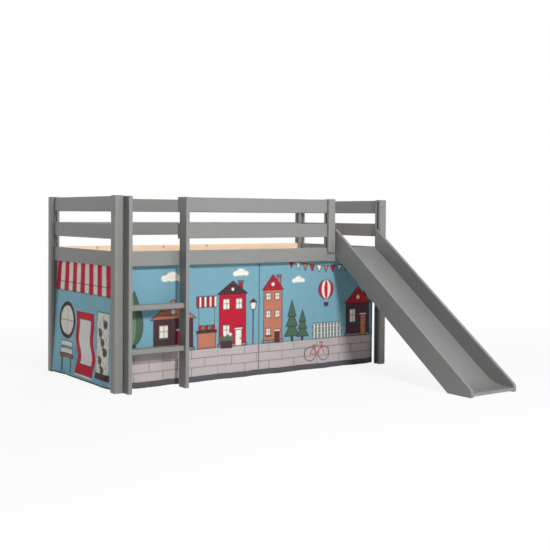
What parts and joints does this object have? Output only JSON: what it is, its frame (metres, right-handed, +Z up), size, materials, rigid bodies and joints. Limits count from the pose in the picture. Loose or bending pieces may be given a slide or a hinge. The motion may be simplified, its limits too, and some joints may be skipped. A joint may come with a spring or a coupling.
{
  "type": "loft bed with slide",
  "caption": "Low loft bed with slatted base, guard rails, board ladder, straight slide at the foot end, and fabric play curtains with a swinging door flap.",
  "frame": {"origin": "middle of the floor rectangle that the whole bed and slide cover", "axes": "+Z up, +X along the bed from the ladder end to the slide end, +Y towards the wall side, so the slide runs down towards -Y"},
  "size_m": [2.082, 2.228, 1.148],
  "materials": {
    "grey_lacquer": "grey satin lacquer over softwood",
    "slide_lacquer": "grey satin lacquer over laminated board",
    "bare_pine": "planed, untreated pine",
    "curtain_cloth": "printed plain-weave cotton, matt",
    "hook_tape": "hook-and-loop tape, matt",
    "bolt_cap": "grey enamel"
  },
  "bodies": {
    "bed": {"post_front_left": "grey_lacquer", "post_back_left": "grey_lacquer", "post_front_right": "grey_lacquer", "post_back_right": "grey_lacquer", "guard_post": "grey_lacquer", "end_rail_left_top": "grey_lacquer", "end_rail_left_middle": "grey_lacquer", "end_rail_left_lower": "grey_lacquer", "end_rail_right_top": "grey_lacquer", "end_rail_right_middle": "grey_lacquer", "end_rail_right_lower": "grey_lacquer", "back_rail_top": "grey_lacquer", "back_rail_middle": "grey_lacquer", "back_side_rail": "bare_pine", "front_side_rail": "grey_lacquer", "front_guard_rail_top": "grey_lacquer", "front_guard_rail_middle": "grey_lacquer", "ladder_upright_left": "grey_lacquer", "ladder_upright_right": "grey_lacquer", "ladder_rung_lower": "grey_lacquer", "ladder_rung_upper": "grey_lacquer", "slat_ledger_front": "bare_pine", "slat_ledger_back": "bare_pine", "slat_01": "bare_pine", "slat_02": "bare_pine", "slat_03": "bare_pine", "slat_04": "bare_pine", "slat_05": "bare_pine", "slat_06": "bare_pine", "slat_07": "bare_pine", "slat_08": "bare_pine", "slat_09": "bare_pine", "slat_10": "bare_pine", "slat_11": "bare_pine", "slat_12": "bare_pine", "slide_side_left": "slide_lacquer", "slide_side_right": "slide_lacquer", "slide_sheet": "slide_lacquer", "slide_batten_1": "slide_lacquer", "slide_batten_2": "slide_lacquer", "slide_cleat": "slide_lacquer", "bolt_front_left_top": "bolt_cap", "bolt_front_left_lower": "bolt_cap", "bolt_back_left_top": "bolt_cap", "bolt_back_left_lower": "bolt_cap", "bolt_front_right_top": "bolt_cap", "bolt_front_right_lower": "bolt_cap", "bolt_back_right_top": "bolt_cap", "bolt_back_right_lower": "bolt_cap", "ladder_bolt_left": "bolt_cap", "ladder_bolt_right": "bolt_cap", "slide_bolt_left": "bolt_cap", "slide_bolt_right": "bolt_cap", "curtain_tape_front": "hook_tape", "curtain_tape_left": "hook_tape", "curtain_front_left": "curtain_cloth", "curtain_front_right": "curtain_cloth", "curtain_left_end": "curtain_cloth"},
    "flap": {"door_flap": "curtain_cloth"}
  },
  "joints": [
    {"name": "door_flap_hinge", "type": "hinge", "parent": "bed", "child": "flap", "pos_m": [-1.0056, 0.598, 0.4287], "axis": [0, 1, 0], "range_deg": [-80, 80]}
  ]
}
